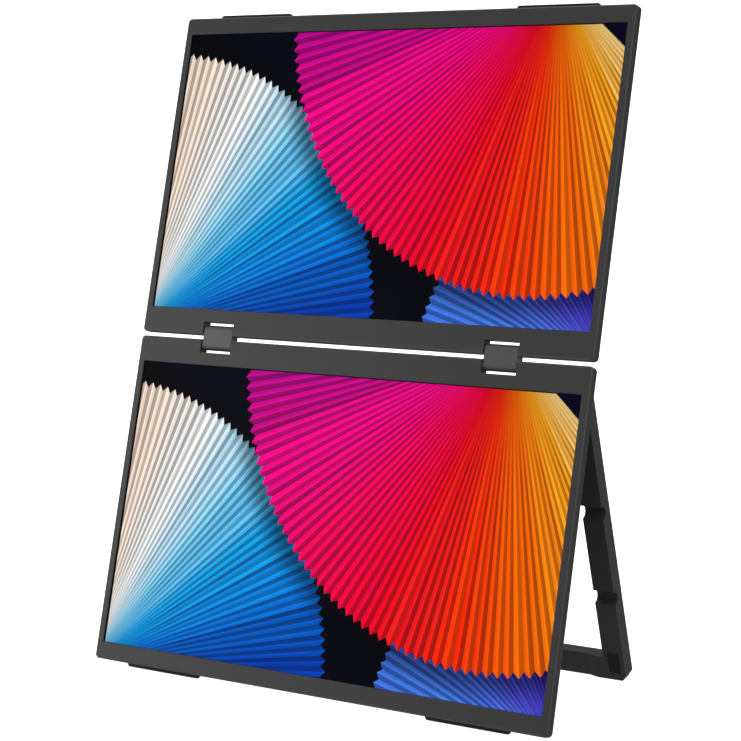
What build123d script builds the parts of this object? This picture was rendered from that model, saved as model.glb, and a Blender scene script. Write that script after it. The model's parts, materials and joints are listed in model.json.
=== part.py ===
from build123d import *
from math import asin, atan2, cos, hypot, radians, sin
import os

# Two framed 15.6-inch screens, one above the other, folding on a pair of double-shaft hinges.
# The lower screen carries the electronics housing on its back and a U-shaped stand that swings
# out around the housing.
#
# Millimetres. +X is right, +Z is up and the viewer is at -Y. The origin is on the desk, under the
# middle of the whole object. The pieces are drawn on planes that lean with the screens: across the
# screens, up along them from the middle of the gap, and towards the viewer from their front faces.
# A depth is a distance behind those front faces. The upper screen is the lower one turned over, so
# heights are given from the gap and multiplied by +1 for the upper screen and -1 for the lower.

# Screen window and the borders around it
window_width = 345.0
window_height = 194.4
side_border = 5.45
hinge_border = 18.0
outer_border = 11.9

# Slabs: the outer boxes of the two screens
slab_depth = 7.5
slab_gap = 2.8
corner_radius = 3.0

# Front bezel
bezel_depth = 2.0
bezel_round = 1.4
window_bevel = 0.4
lip_depth = 0.95

# Display cell and backlight, stacked behind the bezel's lip
cell_room = 0.4
cell_depth = 1.0
backlight_depth = 2.2
backlight_step = 1.5
glue_line = 0.05

# Rear cover
cover_wall = 1.8
cover_floor = 1.4
rear_edge_radius = 1.6
rib_width = 1.2
rib_count = 4
rib_end_room = 12.0

# Screws: one M2 size in several lengths
screw_radius = 1.0
screw_head_radius = 1.8
screw_head_depth = 0.7
screw_fit = 0.02
screw_pass = 0.2
head_room = 0.2
post_radius = 2.2
post_room = 1.2
post_edge_room = 0.6
post_x = 60.0
post_bite = 3.2

# Driver board in each slab's hinge border
board_depth = 1.0
chip_depth = 0.9
chip_length = 16.0
chip_width = 5.0
chip_count = 4

# Hinges: two blocks, each with one shaft per screen
hinge_inset = 65.9
axis_spacing = 10.6
block_width = 24.6
block_radius = 3.4
block_edge = 0.25
block_seam = 0.25
block_end_wall = 1.6
notch_side_room = 0.5
notch_end_room = 1.9
notch_wall = 1.5
shaft_radius = 1.4
shaft_fit = 0.04
shaft_slot_room = 0.4
shaft_end_room = 0.5
clip_wall = 0.9
clip_seat = 0.05
clip_tail = 0.9
clip_tail_thick = 0.7
press_line = 0.02
block_screw_x = 6.5

# Hinge brackets inside the slabs
knuckle_radius = 2.2
knuckle_length = 11.0
knuckle_room = 0.3
leaf_drop = 0.4
leaf_depth = 1.0
leaf_length = 24.0
leaf_edge_room = 1.0
leaf_screw_inset = 5.0
bracket_gap = 0.3

# Rubber strips on the outer edges of both screens
foot_side_inset = 28.0
foot_length = 60.0
foot_front = 2.2
foot_width = 4.2
foot_proud = 2.1
foot_inset = 0.6
foot_edge = 0.8
foot_end_slope = 1.3
foot_fit = 0.1

# Stand
stand_angle = 30.5
stand_gap = 0.4
leg_inset = 1.5
leg_width = 14.5
leg_depth = 9.8
leg_reach = 176.2
leg_tip = 0.5
leg_edge = 0.6
pivot_drop = 33.9
bar_height = 15.4
bar_recess = 2.0
bar_recess_inset = 26.9
bar_ramp = 6.7
bar_corner_radius = 1.5
corner_cut_width = 2.8
corner_cut_height = 4.0
channel_radius = 4.3
channel_first = 58.6
channel_above_bar = 43.6
pad_width = 8.0
pad_height = 13.8
pad_lift = 5.5
pad_outer_room = 3.3
pad_sink = 0.8
pad_proud = 0.2
pad_fit = 0.1
strip_width = 5.0
strip_proud = 0.4
strip_sink = 0.8
strip_end_room = 9.0
strip_fit = 0.1

# Stand pins and washers
pin_radius = 2.5
pin_fit = 0.05
pin_depth_in_leg = 11.0
pin_end_room = 1.0
pin_boss_wall = 1.8
pin_boss_length = 8.0
washer_radius = 4.5
washer_gap = 0.1

# Electronics housing on the lower screen's back
housing_depth = 10.0
housing_wall = 1.6
housing_side_gap = 1.7
housing_above_pivot = 14.0
housing_bar_gap = 2.6
housing_corner = 8.0
housing_edge = 2.4
column_inset = 32.3
column_edge = 10.0
column_radius = 2.8
column_head_sink = 5.0
column_boss_height = 1.9
vent_width = 2.0
vent_length = 18.0
vent_pitch = 7.0
vent_count = 17
vent_drop = 34.0
cable_slot_length = 40.0
cable_slot_width = 6.0

# Circuit boards in the housing
port_depth = 3.4
circuit_depth = 1.2
circuit_width = 58.0
circuit_below = 15.0
circuit_above = 45.0
circuit_wall_room = 0.4
circuit_screw_inset = 4.5
circuit_screw_from_wall = 14.0
circuit_screw_bite = 1.6

# Sockets
port_mouth_sink = 0.4
port_room = 0.25
usb_length = 8.94
usb_height = 3.2
usb_shell = 0.3
usb_depth = 7.4
usb_bottom = 1.2
usb_tongue_length = 6.7
usb_tongue_height = 0.7
usb_tongue_sink = 1.0
hdmi_length = 11.2
hdmi_height = 3.2
hdmi_shell = 0.35
hdmi_foot_cut = 1.0
hdmi_depth = 7.5
hdmi_tongue_length = 8.0

# Buttons and the switches behind them
button_length = 9.0
button_height = 2.6
button_pitch = 13.0
button_room = 0.3
button_proud = 0.7
button_travel = 0.5
button_flange = 0.8
button_flange_depth = 0.8
button_stem = 1.0
button_stem_radius = 1.0
switch_gap = 0.1
switch_depth = 4.0
switch_length = 6.0
switch_height = 2.8
switch_tip = 0.8
switch_tip_radius = 0.9

# Sizes that follow from the ones above
slab_width = window_width + 2 * side_border
slab_height = window_height + hinge_border + outer_border
hinge_edge = slab_gap / 2
outer_edge = hinge_edge + slab_height
slab_middle = hinge_edge + slab_height / 2
window_middle = hinge_edge + hinge_border + window_height / 2
cell_lap = side_border - cover_wall - cell_room
cell_width = window_width + 2 * cell_lap
cell_height = window_height + 2 * cell_lap
cell_front = lip_depth + glue_line
backlight_front = cell_front + cell_depth
backlight_back = backlight_front + backlight_depth
floor_front = slab_depth - cover_floor
stack_edge = hinge_edge + hinge_border - cell_lap - cell_room
rib_pitch = window_width / (rib_count + 1)

hinge_x = slab_width / 2 - hinge_inset
axis_v = axis_spacing / 2
axis_depth = slab_depth - block_radius
notch_width = block_width + 2 * notch_side_room
notch_reach = axis_v + block_radius + notch_end_room
fill_start = hinge_edge + cover_wall / 2
fill_end = notch_reach + notch_wall
clip_bore = shaft_radius + shaft_fit
clip_radius = clip_bore + clip_wall
bracket_start = notch_width / 2 + notch_wall + bracket_gap
pocket_start = bracket_start - bracket_gap
pocket_length = knuckle_length + 2 * bracket_gap
leaf_front = axis_depth + leaf_drop
leaf_back = leaf_front + leaf_depth
leaf_end = stack_edge - leaf_edge_room
leaf_screw_v = leaf_end - screw_head_radius - head_room

post_corner_x = slab_width / 2 - cover_wall - post_radius - post_room
post_hinge_x = hinge_x - notch_width / 2 - notch_wall - post_radius - post_room
post_hinge_v = hinge_edge + cover_wall + post_radius + post_room
post_outer_v = outer_edge - cover_wall - post_radius - post_edge_room
board_length = 2 * (post_hinge_x - post_radius - post_room)
chip_pitch = board_length / chip_count
board_bottom = hinge_edge + cover_wall + cell_room
board_width = leaf_end - board_bottom

foot_end = slab_width / 2 - foot_side_inset
foot_start = foot_end - foot_length
foot_back = foot_front + foot_width
foot_bottom = outer_edge + foot_proud

pivot_v = -(hinge_edge + pivot_drop)
leg_half = leg_depth / 2
pivot_depth = slab_depth + stand_gap + leg_half
leg_outer = slab_width / 2 - leg_inset
leg_inner = leg_outer - leg_width
bar_top = leg_reach - bar_height
bar_flat = leg_outer - bar_recess_inset
channel_pitch = bar_top - channel_above_bar - channel_first
port_heights = [pivot_v - channel_first, pivot_v - channel_first - channel_pitch]

housing_half = leg_inner - housing_side_gap
housing_top = pivot_v + housing_above_pivot
housing_bottom = pivot_v - bar_top + housing_bar_gap
housing_height = housing_top - housing_bottom
housing_middle = (housing_top + housing_bottom) / 2
housing_back = slab_depth + housing_depth
housing_floor = housing_back - housing_wall
housing_inner = housing_half - housing_wall
socket_depth = slab_depth + port_depth
circuit_front = socket_depth + usb_height / 2
circuit_back = circuit_front + circuit_depth
circuit_outer = housing_inner - circuit_wall_room
circuit_top = port_heights[0] + circuit_above
circuit_bottom = port_heights[1] - circuit_below
circuit_height = circuit_top - circuit_bottom
circuit_middle = (circuit_top + circuit_bottom) / 2
circuit_x = circuit_outer - circuit_width / 2
column_x = housing_half - column_inset
column_seat = housing_back - column_head_sink

# The stand's foot and the rubber strip on the lower screen's edge meet the desk together, which
# sets how far the screens lean back.
opening = radians(stand_angle)
down_leg = (-cos(opening), -sin(opening))
behind_leg = (sin(opening), -cos(opening))


def leg_point(down, behind):
    """Height and forward place of a point of the opened leg.

    down is along the leg from the pivot, behind is from the leg's front face.
    """
    back = behind - leg_half
    return (
        pivot_v + down * down_leg[0] + back * behind_leg[0],
        -pivot_depth + down * down_leg[1] + back * behind_leg[1],
    )


stand_foot = leg_point(leg_reach, 0)
strip_centre = (-(foot_bottom - foot_edge), -(foot_back - foot_edge))
foot_rise = stand_foot[0] - strip_centre[0]
foot_run = strip_centre[1] - stand_foot[1]
lean = atan2(foot_rise, foot_run) + asin(foot_edge / hypot(foot_rise, foot_run))

desk = stand_foot[0] * cos(lean) + stand_foot[1] * sin(lean)
front_most = bezel_round * (cos(lean) - 1) - (outer_edge - bezel_round) * sin(lean)
round_up = outer_edge - rear_edge_radius
round_in = slab_depth - rear_edge_radius
back_most = round_up * sin(lean) + round_in * cos(lean) + rear_edge_radius
screens = Plane(
    origin=(0, -(front_most + back_most) / 2, -desk),
    x_dir=(1, 0, 0),
    z_dir=(0, -cos(lean), sin(lean)),
)
towards_viewer = Axis(screens.origin, screens.z_dir)
up_screens = Axis(screens.origin, screens.y_dir)


def front(depth=0.0):
    """Plane parallel to the screens, depth behind their front faces, facing the viewer."""
    return screens.offset(-depth)


def across(x):
    """Plane across the screens at x, with axes up along them and towards the viewer."""
    return Plane(screens.from_local_coords((x, 0, 0)), x_dir=screens.y_dir, z_dir=screens.x_dir)


def leg_plane(behind):
    """Plane parallel to the opened stand, behind its front face: across, and up the legs."""
    height, forward = leg_point(0, behind)
    facing = screens.y_dir * -behind_leg[0] + screens.z_dir * -behind_leg[1]
    return Plane(screens.from_local_coords((0, height, forward)), x_dir=screens.x_dir, z_dir=facing)


def outward(x, start, length):
    """Lowest x of a stretch of the given length that starts at start beside the hinge at x."""
    return x + start if x > 0 else x - start - length


def save(piece, name):
    """Label a finished piece and write its STEP file."""
    piece.part.label = name
    export_step(piece.part, f"parts/{name}.step")


os.makedirs("parts", exist_ok=True)
hinge_places = [-hinge_x, hinge_x]

# The two screens, piece by piece
for name, side in [("upper", 1), ("lower", -1)]:
    outer_xs = (-post_corner_x, -post_x, post_x, post_corner_x)
    hinge_xs = (-post_corner_x, -post_hinge_x, post_hinge_x, post_corner_x)
    post_places = [(x, side * post_outer_v) for x in outer_xs]
    post_places += [(x, side * post_hinge_v) for x in hinge_xs]
    notch_middle = side * (hinge_edge + notch_reach) / 2
    leaf_starts = [outward(x, bracket_start, leaf_length) for x in hinge_places]
    leaf_screws = [
        (start + along, side * leaf_screw_v)
        for start in leaf_starts
        for along in (leaf_screw_inset, leaf_length - leaf_screw_inset)
    ]

    # Front bezel: a plate with a rounded rim, a bevelled window and a rebate for the display cell
    with BuildPart() as bezel:
        with BuildSketch(front(bezel_depth)):
            with Locations((0, side * slab_middle)):
                RectangleRounded(slab_width, slab_height, corner_radius)
        extrude(amount=bezel_depth)
        fillet(bezel.faces().sort_by(towards_viewer)[-1].edges(), bezel_round)
        with BuildSketch(front()):
            with Locations((0, side * window_middle)):
                Rectangle(window_width, window_height)
        extrude(amount=-bezel_depth, mode=Mode.SUBTRACT)
        chamfer(bezel.faces().sort_by(towards_viewer)[-1].inner_wires().edges(), window_bevel)
        with BuildSketch(front(bezel_depth)):
            with Locations((0, side * window_middle)):
                Rectangle(cell_width + 2 * cell_room, cell_height + 2 * cell_room)
        extrude(amount=bezel_depth - lip_depth, mode=Mode.SUBTRACT)
        with BuildSketch(front()):
            with Locations(*[(x, notch_middle) for x in hinge_places]):
                Rectangle(notch_width, notch_reach - hinge_edge)
            with Locations(*[(x, 0) for x in hinge_places]):
                Rectangle(notch_width, 2 * hinge_edge + bezel_round)
        extrude(amount=-bezel_depth, mode=Mode.SUBTRACT)
        # Pockets over the bracket knuckles
        for x in hinge_places:
            with BuildSketch(across(outward(x, pocket_start, pocket_length))):
                with Locations((side * axis_v, -axis_depth)):
                    Circle(knuckle_radius + knuckle_room)
            extrude(amount=pocket_length, mode=Mode.SUBTRACT)
        # Screw posts that stand on the rear cover's floor
        with BuildSketch(front(floor_front)):
            with Locations(*post_places):
                Circle(post_radius)
        extrude(amount=floor_front - bezel_depth)
        with BuildSketch(front(floor_front)):
            with Locations(*post_places):
                Circle(screw_radius + screw_fit)
        extrude(amount=post_bite, mode=Mode.SUBTRACT)
    save(bezel, f"{name}_bezel")

    # Display cell: the glass sandwich seen through the window
    with BuildPart() as screen:
        with BuildSketch(front(cell_front)):
            with Locations((0, side * window_middle)):
                Rectangle(cell_width, cell_height)
        extrude(amount=-cell_depth)
    save(screen, f"{name}_screen")

    # Backlight: a framed light guide with sloping back edges, stuck to the cell
    with BuildPart() as backlight:
        with BuildSketch(front(backlight_front)):
            with Locations((0, side * window_middle)):
                Rectangle(cell_width, cell_height)
        extrude(amount=-backlight_depth)
        chamfer(backlight.faces().sort_by(towards_viewer)[0].edges(), backlight_step)
    save(backlight, f"{name}_backlight")

    # Rear cover: a tray with walls round the hinge notches, ribs under the backlight and screw seats
    with BuildPart() as cover:
        with BuildSketch(front(bezel_depth)):
            with Locations((0, side * slab_middle)):
                RectangleRounded(slab_width, slab_height, corner_radius)
        extrude(amount=bezel_depth - slab_depth)
        fillet(cover.faces().sort_by(towards_viewer)[0].edges(), rear_edge_radius)
        with BuildSketch(front(bezel_depth)):
            with Locations((0, side * slab_middle)):
                RectangleRounded(
                    slab_width - 2 * cover_wall,
                    slab_height - 2 * cover_wall,
                    corner_radius - cover_wall,
                )
        extrude(amount=bezel_depth - floor_front, mode=Mode.SUBTRACT)
        with BuildSketch(front(floor_front)):
            with Locations(*[(x, side * (fill_start + fill_end) / 2) for x in hinge_places]):
                Rectangle(notch_width + 2 * notch_wall, fill_end - fill_start)
        extrude(amount=floor_front - bezel_depth)
        with BuildSketch(front(floor_front)):
            with Locations((0, side * window_middle)):
                with GridLocations(rib_pitch, 0, rib_count, 1):
                    Rectangle(rib_width, window_height - 2 * rib_end_room)
        extrude(amount=floor_front - backlight_back - glue_line)
        with BuildSketch(front(floor_front)):
            with Locations(*leaf_screws):
                Circle(post_radius)
        extrude(amount=floor_front - leaf_back)
        with BuildSketch(front(leaf_back)):
            with Locations(*leaf_screws):
                Circle(screw_radius + screw_fit)
        extrude(amount=leaf_back - floor_front - cover_floor / 2, mode=Mode.SUBTRACT)
        # Notches, and the shafts' slots in their outer walls
        with BuildSketch(front(bezel_depth)):
            with Locations(*[(x, notch_middle) for x in hinge_places]):
                Rectangle(notch_width, notch_reach - hinge_edge)
            with Locations(*[(x, 0) for x in hinge_places]):
                Rectangle(notch_width, 2 * hinge_edge + rear_edge_radius)
        extrude(amount=bezel_depth - slab_depth, mode=Mode.SUBTRACT)
        slot_half = shaft_radius + shaft_slot_room
        for x in hinge_places:
            with BuildSketch(across(outward(x, notch_width / 2, notch_wall))):
                with Locations((side * axis_v, -axis_depth)):
                    Circle(slot_half)
                with Locations((side * axis_v, -(axis_depth + bezel_depth) / 2)):
                    Rectangle(2 * slot_half, axis_depth - bezel_depth)
            extrude(amount=notch_wall, mode=Mode.SUBTRACT)
        # Room for the bracket knuckles in the wall along the hinge
        for x in hinge_places:
            with BuildSketch(across(outward(x, pocket_start, pocket_length))):
                with Locations((side * axis_v, -axis_depth)):
                    Circle(knuckle_radius + knuckle_room)
            extrude(amount=pocket_length, mode=Mode.SUBTRACT)
        # Screw holes, sunk for the heads
        with BuildSketch(front(slab_depth)):
            with Locations(*post_places):
                Circle(screw_radius + screw_pass)
        extrude(amount=cover_floor, mode=Mode.SUBTRACT)
        with BuildSketch(front(slab_depth)):
            with Locations(*post_places):
                Circle(screw_head_radius + head_room)
        extrude(amount=screw_head_depth, mode=Mode.SUBTRACT)
        # Grooves for the rubber strips
        with BuildSketch(front(foot_front - foot_fit)):
            for x in (-1, 1):
                with Locations((x * (foot_start + foot_end) / 2, side * (outer_edge - foot_inset / 2))):
                    Rectangle(foot_end - foot_start + 2 * foot_fit, foot_inset)
        extrude(amount=-foot_width - 2 * foot_fit, mode=Mode.SUBTRACT)
        if name == "lower":
            column_places = [(x, v) for x in (-column_x, 0, column_x)
                             for v in (housing_top - column_edge, housing_bottom + column_edge)]
            with BuildSketch(front(floor_front)):
                with Locations(*column_places):
                    Circle(post_radius)
            extrude(amount=column_boss_height)
            with BuildSketch(front(slab_depth)):
                with Locations(*column_places):
                    Circle(screw_radius + screw_fit)
            extrude(amount=cover_floor + column_boss_height, mode=Mode.SUBTRACT)
            with BuildSketch(front(slab_depth)):
                with Locations((0, housing_middle)):
                    SlotOverall(cable_slot_length, cable_slot_width)
            extrude(amount=cover_floor, mode=Mode.SUBTRACT)
    save(cover, f"{name}_rear_cover")

    # Screws through the rear cover into the bezel's posts
    with BuildPart() as case_screws:
        with BuildSketch(front(slab_depth)):
            with Locations(*post_places):
                Circle(screw_head_radius)
        extrude(amount=screw_head_depth)
        with BuildSketch(front(slab_depth - screw_head_depth)):
            with Locations(*post_places):
                Circle(screw_radius)
        extrude(amount=cover_floor - screw_head_depth + post_bite - screw_pass)
    save(case_screws, f"{name}_case_screws")

    # Driver board on the cover's floor, between the hinges
    with BuildPart() as driver_board:
        with BuildSketch(front(floor_front)):
            with Locations((0, side * (board_bottom + board_width / 2))):
                Rectangle(board_length, board_width)
        extrude(amount=board_depth)
        with BuildSketch(front(floor_front - board_depth)):
            with Locations((0, side * (board_bottom + board_width / 2))):
                with GridLocations(chip_pitch, 0, chip_count, 1):
                    Rectangle(chip_length, chip_width)
        extrude(amount=chip_depth)
    save(driver_board, f"{name}_driver_board")

    # Hinge brackets: a knuckle on the shaft and a leaf screwed to the cover's bosses
    with BuildPart() as brackets:
        for x in hinge_places:
            with BuildSketch(across(outward(x, bracket_start, knuckle_length))):
                with Locations((side * axis_v, -axis_depth)):
                    Circle(knuckle_radius)
            extrude(amount=knuckle_length)
            with BuildSketch(across(outward(x, bracket_start, leaf_length))):
                with Locations((side * (axis_v + leaf_end) / 2, -(leaf_front + leaf_back) / 2)):
                    Rectangle(leaf_end - axis_v, leaf_depth)
            extrude(amount=leaf_length)
        with BuildSketch(front(leaf_back)):
            with Locations(*leaf_screws):
                Circle(screw_radius + screw_pass)
        extrude(amount=leaf_depth, mode=Mode.SUBTRACT)
        for x in hinge_places:
            with BuildSketch(across(outward(x, bracket_start, knuckle_length))):
                with Locations((side * axis_v, -axis_depth)):
                    Circle(shaft_radius + press_line)
            extrude(amount=knuckle_length, mode=Mode.SUBTRACT)
    save(brackets, f"{name}_hinge_brackets")

    with BuildPart() as bracket_screws:
        with BuildSketch(front(leaf_front)):
            with Locations(*leaf_screws):
                Circle(screw_head_radius)
        extrude(amount=screw_head_depth)
        with BuildSketch(front(leaf_front)):
            with Locations(*leaf_screws):
                Circle(screw_radius)
        extrude(amount=leaf_front - floor_front)
    save(bracket_screws, f"{name}_bracket_screws")

    # Hinge shafts: pressed into the knuckles, turning in the blocks' clips
    shaft_start = block_end_wall + shaft_end_room - block_width / 2
    shaft_length = bracket_start + knuckle_length - shaft_start
    with BuildPart() as shafts:
        for x in hinge_places:
            with BuildSketch(across(outward(x, shaft_start, shaft_length))):
                with Locations((side * axis_v, -axis_depth)):
                    Circle(shaft_radius)
            extrude(amount=shaft_length)
    save(shafts, f"{name}_hinge_shafts")

    # Rubber strips set into the slab's outer edge, with sloping ends and rounded outer edges
    with BuildPart() as feet:
        for x in (-1, 1):
            with BuildSketch(front(foot_front)):
                with BuildLine():
                    Polyline(
                        (x * foot_start, side * (outer_edge - foot_inset)),
                        (x * foot_start, side * outer_edge),
                        (x * (foot_start + foot_end_slope), side * foot_bottom),
                        (x * (foot_end - foot_end_slope), side * foot_bottom),
                        (x * foot_end, side * outer_edge),
                        (x * foot_end, side * (outer_edge - foot_inset)),
                        close=True,
                    )
                make_face()
            extrude(amount=-foot_width)
        outer_faces = feet.faces().filter_by(up_screens).group_by(up_screens)[-1 if side > 0 else 0]
        fillet(outer_faces.edges().filter_by(Axis.X), foot_edge)
    save(feet, f"{name}_edge_feet")

# Hinge blocks: a front and a rear shell clamped round the two shafts' friction clips
cavity_length = block_width - 2 * block_end_wall
block_screws = [(x + offset, 0) for x in hinge_places for offset in (-block_screw_x, block_screw_x)]
tail_reach = clip_radius + clip_tail
for name, half in [("front", 1), ("rear", -1)]:
    with BuildPart() as shells:
        for x in hinge_places:
            with BuildSketch(across(x - block_width / 2)):
                with Locations((0, -axis_depth)):
                    SlotCenterToCenter(axis_spacing, 2 * block_radius)
            extrude(amount=block_width)
        chamfer(shells.faces().filter_by(Axis.X).edges(), block_edge)
        split(bisect_by=front(axis_depth), keep=Keep.TOP if half > 0 else Keep.BOTTOM)
        seam_faces = shells.faces().filter_by(towards_viewer).sort_by(towards_viewer)
        seam_faces = seam_faces[:2] if half > 0 else seam_faces[-2:]
        chamfer(seam_faces.edges(), block_seam)
        # Cavities for the clips and their tails, and the shafts' way out
        for x in hinge_places:
            with BuildSketch(across(x - cavity_length / 2)):
                for side in (-1, 1):
                    with Locations((side * axis_v, -axis_depth)):
                        Circle(clip_radius + clip_seat)
                    with Locations((side * (axis_v - tail_reach / 2), -axis_depth)):
                        Rectangle(tail_reach + 2 * clip_seat, clip_tail_thick + 2 * clip_seat)
            extrude(amount=cavity_length, mode=Mode.SUBTRACT)
            with BuildSketch(across(outward(x, 0, block_width / 2))):
                with Locations((axis_v, -axis_depth), (-axis_v, -axis_depth)):
                    Circle(shaft_radius + shaft_fit)
            extrude(amount=block_width / 2, mode=Mode.SUBTRACT)
        screw_end = axis_depth - block_radius + block_end_wall
        with BuildSketch(front(axis_depth + block_radius)):
            with Locations(*block_screws):
                Circle(screw_radius + screw_fit)
        extrude(amount=axis_depth + block_radius - screw_end, mode=Mode.SUBTRACT)
        with BuildSketch(front(axis_depth + block_radius)):
            with Locations(*block_screws):
                Circle(screw_head_radius + head_room)
        extrude(amount=screw_head_depth, mode=Mode.SUBTRACT)
    save(shells, f"hinge_{name}_shells")

with BuildPart() as clips:
    for x in hinge_places:
        with BuildSketch(across(x - cavity_length / 2 + clip_seat)):
            for side in (-1, 1):
                with Locations((side * axis_v, -axis_depth)):
                    Circle(clip_radius)
                with Locations((side * (axis_v - tail_reach / 2), -axis_depth)):
                    Rectangle(tail_reach, clip_tail_thick)
                with Locations((side * axis_v, -axis_depth)):
                    Circle(clip_bore, mode=Mode.SUBTRACT)
        extrude(amount=cavity_length - 2 * clip_seat)
save(clips, "hinge_friction_clips")

with BuildPart() as shell_screws:
    with BuildSketch(front(axis_depth + block_radius)):
        with Locations(*block_screws):
            Circle(screw_head_radius)
    extrude(amount=screw_head_depth)
    with BuildSketch(front(axis_depth + block_radius - screw_head_depth)):
        with Locations(*block_screws):
            Circle(screw_radius)
    extrude(amount=axis_depth + block_radius - screw_head_depth - screw_end - screw_pass)
save(shell_screws, "hinge_shell_screws")

# Electronics housing: a moulded cap with ports and buttons in its side walls
circuit_screws = [
    (x * (circuit_outer - inset), v)
    for x in (-1, 1)
    for inset in (circuit_screw_from_wall, circuit_width - circuit_screw_inset)
    for v in (circuit_top - circuit_screw_inset, circuit_bottom + circuit_screw_inset)
]
button_heights = {
    "power_button": port_heights[0] + 3 * button_pitch,
    "up_button": port_heights[0] + 2 * button_pitch,
    "down_button": port_heights[0] + button_pitch,
}
usb_places = [(1, port_heights[0]), (1, port_heights[1]), (-1, port_heights[1])]
hdmi_place = (-1, port_heights[0])

with BuildPart() as housing:
    with BuildSketch(front(slab_depth)):
        with Locations((0, housing_middle)):
            RectangleRounded(2 * housing_half, housing_height, housing_corner)
    extrude(amount=-housing_depth)
    fillet(housing.faces().sort_by(towards_viewer)[0].edges(), housing_edge)
    with BuildSketch(front(slab_depth)):
        with Locations((0, housing_middle)):
            RectangleRounded(
                2 * housing_inner,
                housing_height - 2 * housing_wall,
                housing_corner - housing_wall,
            )
    extrude(amount=housing_wall - housing_depth, mode=Mode.SUBTRACT)
    # Screw columns, board standoffs and the stand pins' bosses
    with BuildSketch(front(housing_floor)):
        with Locations(*column_places):
            Circle(column_radius)
    extrude(amount=housing_floor - slab_depth)
    with BuildSketch(front(housing_floor)):
        with Locations(*circuit_screws):
            Circle(post_radius)
    extrude(amount=housing_floor - circuit_back)
    boss_radius = pin_radius + pin_boss_wall
    for x in (-1, 1):
        boss_start = min(x * housing_inner, x * (housing_inner - pin_boss_length))
        with BuildSketch(across(boss_start)):
            with Locations((pivot_v, -pivot_depth)):
                Circle(boss_radius)
            with Locations((pivot_v, -(pivot_depth + housing_floor) / 2)):
                Rectangle(2 * boss_radius, housing_floor - pivot_depth)
        extrude(amount=pin_boss_length)
        pin_start = min(x * housing_half, x * (housing_inner - pin_boss_length))
        with BuildSketch(across(pin_start)):
            with Locations((pivot_v, -pivot_depth)):
                Circle(pin_radius + press_line)
        extrude(amount=pin_boss_length + housing_wall, mode=Mode.SUBTRACT)
    with BuildSketch(front(housing_back)):
        with Locations(*column_places):
            Circle(screw_radius + screw_pass)
    extrude(amount=housing_depth, mode=Mode.SUBTRACT)
    with BuildSketch(front(housing_back)):
        with Locations(*column_places):
            Circle(screw_head_radius + head_room)
    extrude(amount=column_head_sink, mode=Mode.SUBTRACT)
    with BuildSketch(front(housing_floor)):
        with Locations(*circuit_screws):
            Circle(screw_radius + screw_fit)
    extrude(amount=housing_floor - circuit_back, mode=Mode.SUBTRACT)
    # Ports, buttons and vents
    for x, v in usb_places:
        with BuildSketch(across(min(x * housing_half, x * housing_inner))):
            with Locations((v, -socket_depth)):
                SlotOverall(usb_length + 2 * port_room, usb_height + 2 * port_room)
        extrude(amount=housing_wall, mode=Mode.SUBTRACT)
    with BuildSketch(across(min(hdmi_place[0] * housing_half, hdmi_place[0] * housing_inner))):
        with Locations((hdmi_place[1], -socket_depth)):
            Rectangle(hdmi_length + 2 * port_room, hdmi_height + 2 * port_room)
    extrude(amount=housing_wall, mode=Mode.SUBTRACT)
    with BuildSketch(across(-housing_half)):
        with Locations(*[(v, -socket_depth) for v in button_heights.values()]):
            SlotOverall(button_length + 2 * button_room, button_height + 2 * button_room)
    extrude(amount=housing_wall, mode=Mode.SUBTRACT)
    with BuildSketch(front(housing_back)):
        with Locations((0, housing_top - vent_drop)):
            with GridLocations(vent_pitch, 0, vent_count, 1):
                SlotOverall(vent_length, vent_width, rotation=90)
    extrude(amount=housing_wall, mode=Mode.SUBTRACT)
save(housing, "electronics_housing")

with BuildPart() as housing_screws:
    with BuildSketch(front(column_seat + screw_head_depth)):
        with Locations(*column_places):
            Circle(screw_head_radius)
    extrude(amount=screw_head_depth)
    with BuildSketch(front(column_seat)):
        with Locations(*column_places):
            Circle(screw_radius)
    extrude(amount=column_seat - floor_front + column_boss_height - screw_pass)
save(housing_screws, "housing_screws")

# Circuit boards behind the side walls, screwed to the housing's standoffs
for name, x in [("input_board", 1), ("control_board", -1)]:
    board_holes = [place for place in circuit_screws if place[0] * x > 0]
    with BuildPart() as circuit:
        with BuildSketch(front(circuit_back)):
            with Locations((x * circuit_x, circuit_middle)):
                Rectangle(circuit_width, circuit_height)
            with Locations(*board_holes):
                Circle(screw_radius + screw_pass, mode=Mode.SUBTRACT)
        extrude(amount=circuit_depth)
        with BuildSketch(front(circuit_front)):
            with Locations((x * (circuit_x - chip_length / 2), circuit_middle)):
                Rectangle(chip_length, chip_length)
        extrude(amount=chip_depth)
    save(circuit, name)

with BuildPart() as circuit_fixings:
    with BuildSketch(front(circuit_front)):
        with Locations(*circuit_screws):
            Circle(screw_head_radius)
    extrude(amount=screw_head_depth)
    with BuildSketch(front(circuit_front)):
        with Locations(*circuit_screws):
            Circle(screw_radius)
    extrude(amount=-circuit_depth - circuit_screw_bite)
save(circuit_fixings, "board_screws")

# Sockets: drawn shells with a tongue inside, soldered to the boards
port_mouth = housing_half - port_mouth_sink
with BuildPart() as usb_sockets:
    for x, v in usb_places:
        mouth = across(x * port_mouth)
        with BuildSketch(mouth):
            with Locations((v, -socket_depth)):
                SlotOverall(usb_length, usb_height)
        extrude(amount=-x * usb_depth)
        with BuildSketch(mouth):
            with Locations((v, -socket_depth)):
                SlotOverall(usb_length - 2 * usb_shell, usb_height - 2 * usb_shell)
        extrude(amount=-x * (usb_depth - usb_bottom), mode=Mode.SUBTRACT)
        with BuildSketch(across(x * (port_mouth - usb_tongue_sink))):
            with Locations((v, -socket_depth)):
                Rectangle(usb_tongue_length, usb_tongue_height)
        extrude(amount=-x * (usb_depth - usb_tongue_sink))
save(usb_sockets, "usb_c_sockets")

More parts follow.
